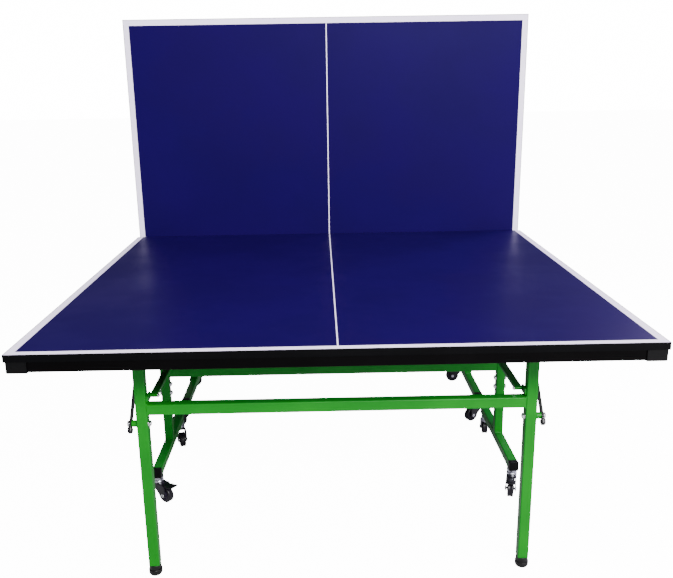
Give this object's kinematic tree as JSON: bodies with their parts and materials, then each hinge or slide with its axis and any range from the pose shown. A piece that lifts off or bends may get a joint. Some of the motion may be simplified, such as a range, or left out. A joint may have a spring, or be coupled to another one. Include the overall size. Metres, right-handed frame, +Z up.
{
  "type": "folding table tennis table",
  "caption": "Folding table tennis table on rolling trolleys: one half flat on green tube legs, the other half folded upright as a rebound board.",
  "frame": {"origin": "centre of the footprint on the floor, under the middle of the table in its one-player position", "axes": "+X to the player's right across the table, +Y from the player towards the upright half, +Z up"},
  "size_m": [1.525, 1.693, 1.58],
  "materials": {
    "board": "painted deep blue playing surface with white lines, satin",
    "edge_band": "black PVC edge strip, satin",
    "apron_steel": "black gloss powder coat",
    "black_plastic": "moulded black plastic, fine grain",
    "black_steel": "black powder coat",
    "green_frame": "bright green gloss powder coat",
    "zinc_bolts": "zinc plated",
    "zinc_plate": "zinc plated pressed steel",
    "dark_stay": "dark grey powder coat",
    "nylon": "black nylon",
    "caster_fork": "black coated pressed steel with bright zinc head",
    "wheel_rubber": "dark moulded rubber tyre on a plastic hub",
    "brake_plastic": "black brake lever",
    "foot_rubber": "black rubber foot"
  },
  "bodies": {
    "near_trolley": {"near_trolley_frame": "green_frame", "near_rail_caps": "black_plastic", "near_caster_plates": "zinc_plate", "near_trolley_bolts": "zinc_bolts"},
    "near_top": {"near_board": "board", "near_edge_band": "edge_band", "near_apron": "apron_steel", "near_corner_caps": "black_plastic", "near_underframe": "black_steel", "near_stay_tracks": "black_steel", "near_hinge_bolts": "zinc_bolts"},
    "near_legs": {"near_leg_frame": "green_frame", "near_leg_bolts": "zinc_bolts"},
    "near_links": {"near_links": "black_steel"},
    "near_stays": {"near_stays": "dark_stay", "near_stay_grips": "black_plastic", "near_stay_shoes": "nylon"},
    "near_foot_left": {"near_foot_left": "foot_rubber"},
    "near_foot_right": {"near_foot_right": "foot_rubber"},
    "near_swivel_front_left": {"near_fork_front_left": "caster_fork"},
    "near_wheel_front_left": {"near_wheel_front_left": "wheel_rubber"},
    "near_brake_left": {"near_brake_left": "brake_plastic"},
    "near_swivel_front_right": {"near_fork_front_right": "caster_fork"},
    "near_wheel_front_right": {"near_wheel_front_right": "wheel_rubber"},
    "near_brake_right": {"near_brake_right": "brake_plastic"},
    "near_swivel_rear_left": {"near_fork_rear_left": "caster_fork"},
    "near_wheel_rear_left": {"near_wheel_rear_left": "wheel_rubber"},
    "near_swivel_rear_right": {"near_fork_rear_right": "caster_fork"},
    "near_wheel_rear_right": {"near_wheel_rear_right": "wheel_rubber"},
    "far_trolley": {"far_trolley_frame": "green_frame", "far_rail_caps": "black_plastic", "far_caster_plates": "zinc_plate", "far_trolley_bolts": "zinc_bolts"},
    "far_top": {"far_board": "board", "far_edge_band": "edge_band", "far_apron": "apron_steel", "far_corner_caps": "black_plastic", "far_underframe": "black_steel", "far_stay_tracks": "black_steel", "far_hinge_bolts": "zinc_bolts"},
    "far_legs": {"far_leg_frame": "green_frame", "far_leg_bolts": "zinc_bolts"},
    "far_links": {"far_links": "black_steel"},
    "far_stays": {"far_stays": "dark_stay", "far_stay_grips": "black_plastic", "far_stay_shoes": "nylon"},
    "far_foot_left": {"far_foot_left": "foot_rubber"},
    "far_foot_right": {"far_foot_right": "foot_rubber"},
    "far_swivel_front_left": {"far_fork_front_left": "caster_fork"},
    "far_wheel_front_left": {"far_wheel_front_left": "wheel_rubber"},
    "far_brake_left": {"far_brake_left": "brake_plastic"},
    "far_swivel_front_right": {"far_fork_front_right": "caster_fork"},
    "far_wheel_front_right": {"far_wheel_front_right": "wheel_rubber"},
    "far_brake_right": {"far_brake_right": "brake_plastic"},
    "far_swivel_rear_left": {"far_fork_rear_left": "caster_fork"},
    "far_wheel_rear_left": {"far_wheel_rear_left": "wheel_rubber"},
    "far_swivel_rear_right": {"far_fork_rear_right": "caster_fork"},
    "far_wheel_rear_right": {"far_wheel_rear_right": "wheel_rubber"}
  },
  "joints": [
    {"name": "near_fold", "type": "hinge", "parent": "near_trolley", "child": "near_top", "pos_m": [0, 0.04349, 0.68999], "axis": [-1, 0, 0], "range_deg": [0, 90]},
    {"name": "near_leg_swing", "type": "hinge", "parent": "near_top", "child": "near_legs", "pos_m": [0, -0.58651, 0.68999], "axis": [-1, 0, 0], "range_deg": [-90, 0]},
    {"name": "near_link_swing", "type": "hinge", "parent": "near_trolley", "child": "near_links", "pos_m": [0, 0.0645, 0.53799], "axis": [-1, 0, 0], "range_deg": [0, 90]},
    {"name": "near_stay_swing", "type": "hinge", "parent": "near_legs", "child": "near_stays", "pos_m": [0, -0.58651, 0.46599], "axis": [-1, 0, 0], "range_deg": [0, 134.08]},
    {"name": "near_foot_turn_left", "type": "hinge", "parent": "near_legs", "child": "near_foot_left", "pos_m": [-0.522, -0.58651, 0], "axis": [0, 0, 1], "continuous": true},
    {"name": "near_foot_turn_right", "type": "hinge", "parent": "near_legs", "child": "near_foot_right", "pos_m": [0.522, -0.58651, 0], "axis": [0, 0, 1], "continuous": true},
    {"name": "near_swivel_turn_front_left", "type": "hinge", "parent": "near_trolley", "child": "near_swivel_front_left", "pos_m": [-0.592, -0.17451, 0], "axis": [0, 0, 1], "continuous": true},
    {"name": "near_wheel_roll_front_left", "type": "hinge", "parent": "near_swivel_front_left", "child": "near_wheel_front_left", "pos_m": [-0.56644, -0.19376, 0.028], "axis": [0.6018, 0.7986, 0], "continuous": true},
    {"name": "near_brake_press_left", "type": "hinge", "parent": "near_swivel_front_left", "child": "near_brake_left", "pos_m": [-0.57603, -0.18654, 0.062], "axis": [0.6018, 0.7986, 0], "range_deg": [0, 10]},
    {"name": "near_swivel_turn_front_right", "type": "hinge", "parent": "near_trolley", "child": "near_swivel_front_right", "pos_m": [0.592, -0.17451, 0], "axis": [0, 0, 1], "continuous": true},
    {"name": "near_wheel_roll_front_right", "type": "hinge", "parent": "near_swivel_front_right", "child": "near_wheel_front_right", "pos_m": [0.58264, -0.20511, 0.028], "axis": [0.9563, -0.2924, 0], "continuous": true},
    {"name": "near_brake_press_right", "type": "hinge", "parent": "near_swivel_front_right", "child": "near_brake_right", "pos_m": [0.58615, -0.19363, 0.062], "axis": [0.9563, -0.2924, 0], "range_deg": [0, 10]},
    {"name": "near_swivel_turn_rear_left", "type": "hinge", "parent": "near_trolley", "child": "near_swivel_rear_left", "pos_m": [-0.592, 0.24149, 0], "axis": [0, 0, 1], "continuous": true},
    {"name": "near_wheel_roll_rear_left", "type": "hinge", "parent": "near_swivel_rear_left", "child": "near_wheel_rear_left", "pos_m": [-0.58105, 0.21142, 0.028], "axis": [0.9397, 0.342, 0], "continuous": true},
    {"name": "near_swivel_turn_rear_right", "type": "hinge", "parent": "near_trolley", "child": "near_swivel_rear_right", "pos_m": [0.592, 0.24149, 0], "axis": [0, 0, 1], "continuous": true},
    {"name": "near_wheel_roll_rear_right", "type": "hinge", "parent": "near_swivel_rear_right", "child": "near_wheel_rear_right", "pos_m": [0.59535, 0.27332, 0.028], "axis": [-0.9945, 0.1045, 0], "continuous": true},
    {"name": "far_roll", "type": "slide", "parent": "near_trolley", "child": "far_trolley", "axis": [0, 1, 0], "range_m": [0, 0.414]},
    {"name": "far_fold", "type": "hinge", "parent": "far_trolley", "child": "far_top", "pos_m": [0, 0.62351, 0.68999], "axis": [-1, 0, 0], "range_deg": [0, 90]},
    {"name": "far_leg_swing", "type": "hinge", "parent": "far_top", "child": "far_legs", "pos_m": [0, 0.62351, 1.31999], "axis": [-1, 0, 0], "range_deg": [-90, 0]},
    {"name": "far_link_swing", "type": "hinge", "parent": "far_trolley", "child": "far_links", "pos_m": [0, 0.6025, 0.53799], "axis": [-1, 0, 0], "range_deg": [0, 90]},
    {"name": "far_stay_swing", "type": "hinge", "parent": "far_legs", "child": "far_stays", "pos_m": [0, 0.62351, 1.09599], "axis": [-1, 0, 0], "range_deg": [0, 134.08]},
    {"name": "far_foot_turn_left", "type": "hinge", "parent": "far_legs", "child": "far_foot_left", "pos_m": [-0.522, 0.62351, 0.63], "axis": [0, 0, 1], "continuous": true},
    {"name": "far_foot_turn_right", "type": "hinge", "parent": "far_legs", "child": "far_foot_right", "pos_m": [0.522, 0.62351, 0.63], "axis": [0, 0, 1], "continuous": true},
    {"name": "far_swivel_turn_front_left", "type": "hinge", "parent": "far_trolley", "child": "far_swivel_front_left", "pos_m": [-0.592, 0.40551, 0], "axis": [0, 0, 1], "continuous": true},
    {"name": "far_wheel_roll_front_left", "type": "hinge", "parent": "far_swivel_front_left", "child": "far_wheel_front_left", "pos_m": [-0.62207, 0.39456, 0.028], "axis": [0.342, -0.9397, 0], "continuous": true},
    {"name": "far_brake_press_left", "type": "hinge", "parent": "far_swivel_front_left", "child": "far_brake_left", "pos_m": [-0.61079, 0.39867, 0.062], "axis": [0.342, -0.9397, 0], "range_deg": [0, 10]},
    {"name": "far_swivel_turn_front_right", "type": "hinge", "parent": "far_trolley", "child": "far_swivel_front_right", "pos_m": [0.592, 0.40551, 0], "axis": [0, 0, 1], "continuous": true},
    {"name": "far_wheel_roll_front_right", "type": "hinge", "parent": "far_swivel_front_right", "child": "far_wheel_front_right", "pos_m": [0.56429, 0.38951, 0.028], "axis": [0.5, -0.866, 0], "continuous": true},
    {"name": "far_brake_press_right", "type": "hinge", "parent": "far_swivel_front_right", "child": "far_brake_right", "pos_m": [0.57468, 0.39551, 0.062], "axis": [0.5, -0.866, 0], "range_deg": [0, 10]},
    {"name": "far_swivel_turn_rear_left", "type": "hinge", "parent": "far_trolley", "child": "far_swivel_rear_left", "pos_m": [-0.592, 0.82151, 0], "axis": [0, 0, 1], "continuous": true},
    {"name": "far_wheel_roll_rear_left", "type": "hinge", "parent": "far_swivel_rear_left", "child": "far_wheel_rear_left", "pos_m": [-0.62392, 0.82374, 0.028], "axis": [-0.0698, -0.9976, 0], "continuous": true},
    {"name": "far_swivel_turn_rear_right", "type": "hinge", "parent": "far_trolley", "child": "far_swivel_rear_right", "pos_m": [0.592, 0.82151, 0], "axis": [0, 0, 1], "continuous": true},
    {"name": "far_wheel_roll_rear_right", "type": "hinge", "parent": "far_swivel_rear_right", "child": "far_wheel_rear_right", "pos_m": [0.56, 0.82151, 0.028], "axis": [0, -1, 0], "continuous": true}
  ],
  "couplings": [
    {"joint": "near_leg_swing", "follows": "near_fold", "ratio": -1},
    {"joint": "near_link_swing", "follows": "near_fold", "ratio": 1},
    {"joint": "near_stay_swing", "follows": "near_fold", "ratio": 1.4898},
    {"joint": "far_leg_swing", "follows": "far_fold", "ratio": -1},
    {"joint": "far_link_swing", "follows": "far_fold", "ratio": 1},
    {"joint": "far_stay_swing", "follows": "far_fold", "ratio": 1.4898},
    {"joint": "far_roll", "follows": "far_fold", "m_per_rad": 0.26356}
  ]
}
